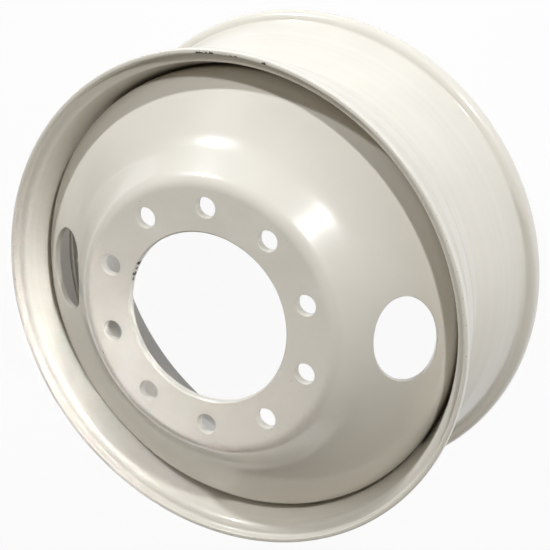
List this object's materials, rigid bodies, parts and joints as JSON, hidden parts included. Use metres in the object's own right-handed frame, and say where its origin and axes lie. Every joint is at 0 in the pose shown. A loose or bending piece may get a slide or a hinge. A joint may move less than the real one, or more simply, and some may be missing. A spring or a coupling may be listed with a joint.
{
  "type": "truck steel wheel",
  "caption": "Painted steel truck wheel: a drop-centre rim with tapered bead seats and a domed disc with hub bore, stud holes and oval hand holes, joined by a hidden weld.",
  "frame": {"origin": "on the wheel's axle, in the plane of the inboard rim edge that it lies on", "axes": "+Z runs along the axle from the inboard rim edge to the domed outboard face; +X points at one hand hole, the one in line with the valve hole"},
  "size_m": [0.6478, 0.6476, 0.289],
  "materials": {
    "rim_paint": "glossy warm white enamel over rolled steel strip",
    "disc_paint": "glossy warm white enamel over spun steel plate",
    "weld_paint": "the same enamel over a rippled weld bead"
  },
  "bodies": {
    "root": {"wheel_rim": "rim_paint", "wheel_disc": "disc_paint", "disc_weld": "weld_paint"}
  },
  "joints": []
}
